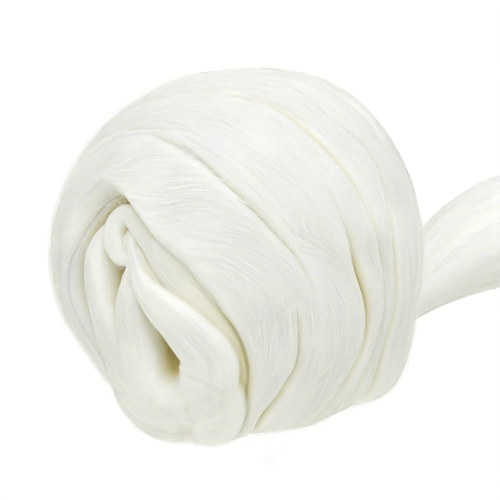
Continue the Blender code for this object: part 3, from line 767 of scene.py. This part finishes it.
# a node's output that takes part in sums
class Strand:
    def __init__(self, tree, socket=None):
        self.tree, self.socket = tree, socket

    def node(self, kind, settings=None, values=None, output=0):
        made = self.tree.nodes.new(kind)
        for key, value in (settings or {}).items():
            if key == "stops":
                ramp = made.color_ramp
                while len(ramp.elements) < len(value):
                    ramp.elements.new(0.5)
                for element, (place, colour) in zip(ramp.elements, value):
                    element.position = place
                    element.color = (*colour, 1)
            else:
                setattr(made, key, value)
        for key, value in (values or {}).items():
            if isinstance(value, Strand):
                self.tree.links.new(value.socket, made.inputs[key])
            else:
                made.inputs[key].default_value = value
        return Strand(self.tree, made.outputs[output])

    def sum(self, operation, first, second):
        return self.node("ShaderNodeMath", {"operation": operation}, {0: first, 1: second})

    def __add__(self, other):
        return self.sum("ADD", self, other)

    def __sub__(self, other):
        return self.sum("SUBTRACT", self, other)

    def __rsub__(self, other):
        return self.sum("SUBTRACT", other, self)

    def __mul__(self, other):
        return self.sum("MULTIPLY", self, other)

    __radd__ = __add__
    __rmul__ = __mul__


wool = {
    # painted shade, from the open surface to the bottom of a hollow: darker and yellower the deeper the wool
    # lies, where light is shut out and bounces among the fibres
    "paintedShades": ((0.0, (0.93, 0.93, 0.905)), (0.1, (0.925, 0.92, 0.875)), (0.3, (0.87, 0.86, 0.75)),
               (0.45, (0.84, 0.815, 0.68)), (0.65, (0.77, 0.70, 0.40)), (1.0, (0.60, 0.49, 0.16))),
    "deepest": 12.0,       # sunk depth that takes the last shade
    # streaks across the strands: scale, detail
    "locks": (1.1, 2.0),
    "fibres": (3.4, 3.0),
    "hairs": (9.0, 1.0),
    "streakShade": (0.86, 0.855, 0.80),
    "streakStart": 0.35,
    "streakStrength": 0.5,
    "roughness": (0.82, 0.14),         # smoothest, how much the fibres add
    "sheen": 0.25,
    "sheenRoughness": 0.5,
    "gloss": 0.25,
    "subsurface": 0.65,
    "subsurfaceRadius": (1.0, 0.9, 0.6),
    "subsurfaceDepth": 4,
    "bump": 0.4,
    "bumpDistance": 0.5,
    "bumpShares": (0.5, 0.35, 0.15),   # locks, fibres, hairs
}


def newFinish(name):                             # a material, its shader, and the wool's two attributes
    material = bpy.data.materials.new(name)
    material.use_nodes = True
    start = Strand(material.node_tree)
    fibre = start.node("ShaderNodeAttribute", {"attribute_name": "fibre"}, output="Vector")
    sunk = start.node("ShaderNodeAttribute", {"attribute_name": "sunk"}, output="Fac")
    return material, material.node_tree.nodes["Principled BSDF"], fibre, sunk


def streaks(fibre, size):
    scale, detail = size
    return fibre.node("ShaderNodeTexNoise", values={"Vector": fibre, "Scale": scale, "Detail": detail})


def mixed(share, first, second):                 # two colours
    return share.node("ShaderNodeMix", {"data_type": "RGBA"}, {0: share, 6: first, 7: (*second, 1)}, output=2)


def woolMaterial():
    material, shader, fibre, sunk = newFinish("combed_wool")
    locks, fibres, hairs = [streaks(fibre, wool[name]) for name in ("locks", "fibres", "hairs")]
    # painted shade: the colour darkens and yellows with how deep the wool lies in a hollow or crease
    shade = sunk.node("ShaderNodeValToRGB", {"stops": wool["paintedShades"]}, {"Fac": sunk * (1 / wool["deepest"])})
    streak = (locks * 0.5 + fibres * 0.5 - wool["streakStart"]) * wool["streakStrength"]
    colour = mixed(streak, shade, wool["streakShade"])
    smoothest, added = wool["roughness"]
    roughness = smoothest + added * fibres
    lockShare, fibreShare, hairShare = wool["bumpShares"]
    height = locks * lockShare + fibres * fibreShare + hairs * hairShare
    bump = height.node("ShaderNodeBump", values={
        "Strength": wool["bump"], "Distance": wool["bumpDistance"] * mm, "Height": height})
    for name, made in (("Base Color", colour), ("Roughness", roughness), ("Normal", bump)):
        material.node_tree.links.new(made.socket, shader.inputs[name])
    shader.inputs["Sheen Weight"].default_value = wool["sheen"]
    shader.inputs["Sheen Roughness"].default_value = wool["sheenRoughness"]
    shader.inputs["Specular IOR Level"].default_value = wool["gloss"]
    shader.inputs["Subsurface Weight"].default_value = wool["subsurface"]
    shader.inputs["Subsurface Radius"].default_value = wool["subsurfaceRadius"]
    shader.inputs["Subsurface Scale"].default_value = wool["subsurfaceDepth"] * mm
    return material


threadLook = {
    "brighter": 1.04,      # than the wool under them, a painted lightening against the shadow the thin threads cast on themselves
    "change": (2.0, 1.0),  # from thread to thread: scale, detail
    "changeStrength": 0.3,
    # near-white that the threads drift to at random, kept light as the same painted lightening
    "colour": (0.97, 0.97, 0.95),
    "roughness": 0.7,
    "sheen": 0.2,
    "gloss": 0.2,
}


def threadMaterial():                            # loose fibres: the same wool with its painted hollow shade, too thin to need a bump
    material, shader, fibre, sunk = newFinish("loose_fibre")
    change = streaks(fibre, threadLook["change"])
    stops = [(place, [min(1, value * threadLook["brighter"]) for value in colour])
             for place, colour in wool["paintedShades"]]
    shade = sunk.node("ShaderNodeValToRGB", {"stops": stops}, {"Fac": sunk * (1 / wool["deepest"])})
    colour = mixed(change * threadLook["changeStrength"], shade, threadLook["colour"])
    material.node_tree.links.new(colour.socket, shader.inputs["Base Color"])
    shader.inputs["Roughness"].default_value = threadLook["roughness"]
    shader.inputs["Sheen Weight"].default_value = threadLook["sheen"]
    shader.inputs["Specular IOR Level"].default_value = threadLook["gloss"]
    return material


woolFinish, threadFinish = woolMaterial(), threadMaterial()
for piece in woolPieces:
    thin = piece.name in looseFibres or piece.name in ("wisps", "loose_end_wisps")
    piece.data.materials.append(threadFinish if thin else woolFinish)
print("wool finished:", len(woolPieces), "pieces")

# the floor is a white sweep that takes only a faint shadow. lengths here are in metres
studio = {
    "floorColour": 0.12,
    "floorGlow": 0.90,
    "floorRoughness": 0.95,
    "floorSize": 12.0,
    "floorHeight": -0.0002,
    "brightest": (0.08, -0.25, 0.96),   # the side of the sky that is brightest
    "skyStrength": 2,
    # how far a direction points there (-1 to 1), light from it
    "sky": ((-1.0, (1.28, 1.29, 1.22)), (-0.4, (0.90, 0.915, 0.82)), (0.1, (0.39, 0.40, 0.335)),
            (0.5, (0.53, 0.53, 0.48)), (1.0, (1.79, 1.79, 1.83))),
    # place, energy, size
    "lights": (((-0.1, -0.7, 0.45), 0.5, 0.5),),
}


def makeStudio():
    half = studio["floorSize"] / 2
    mesh = bpy.data.meshes.new("floor")
    corners = [(-half, -half, 0), (half, -half, 0), (half, half, 0), (-half, half, 0)]
    mesh.from_pydata(corners, [], [(0, 1, 2, 3)])
    floor = bpy.data.objects.new("floor", mesh)
    bpy.context.scene.collection.objects.link(floor)
    floor.location.z = studio["floorHeight"]
    # the sky lights the wool from below too
    floor.visible_diffuse = floor.visible_glossy = floor.visible_shadow = False
    material = bpy.data.materials.new("pale_floor")
    material.use_nodes = True
    shader = material.node_tree.nodes["Principled BSDF"]
    shader.inputs["Base Color"].default_value = (*[studio["floorColour"]] * 3, 1)
    shader.inputs["Roughness"].default_value = studio["floorRoughness"]
    shader.inputs["Specular IOR Level"].default_value = 0.0
    shader.inputs["Emission Color"].default_value = (1, 1, 1, 1)
    shader.inputs["Emission Strength"].default_value = studio["floorGlow"]
    mesh.materials.append(material)
    world = bpy.data.worlds.new("soft_sky")
    world.use_nodes = True
    sky = Strand(world.node_tree)
    place = sky.node("ShaderNodeTexCoord", output="Generated")
    height = sky.node("ShaderNodeVectorMath", {"operation": "DOT_PRODUCT"},
                      {0: place, 1: tuple(unit(studio["brightest"]))}, output="Value")
    strength = studio["skyStrength"]
    stops = [((level + 1) / 2, [value / strength for value in colour]) for level, colour in studio["sky"]]
    light = sky.node("ShaderNodeValToRGB", {"stops": stops}, {"Fac": (height + 1) * 0.5})
    background = world.node_tree.nodes["Background"]
    world.node_tree.links.new(light.socket, background.inputs["Color"])
    background.inputs["Strength"].default_value = strength
    bpy.context.scene.world = world
    for number, (place, energy, size) in enumerate(studio["lights"]):
        data = bpy.data.lights.new(f"softbox_{number + 1}", "AREA")
        data.energy = energy
        data.size = size
        light = bpy.data.objects.new(data.name, data)
        light.location = place
        light.rotation_euler = (Vector(place) - Vector(ballCentre)).to_track_quat("Z", "Y").to_euler()
        bpy.context.scene.collection.objects.link(light)
    bpy.context.scene.view_settings.view_transform = "Standard"


makeStudio()
print("studio lit")
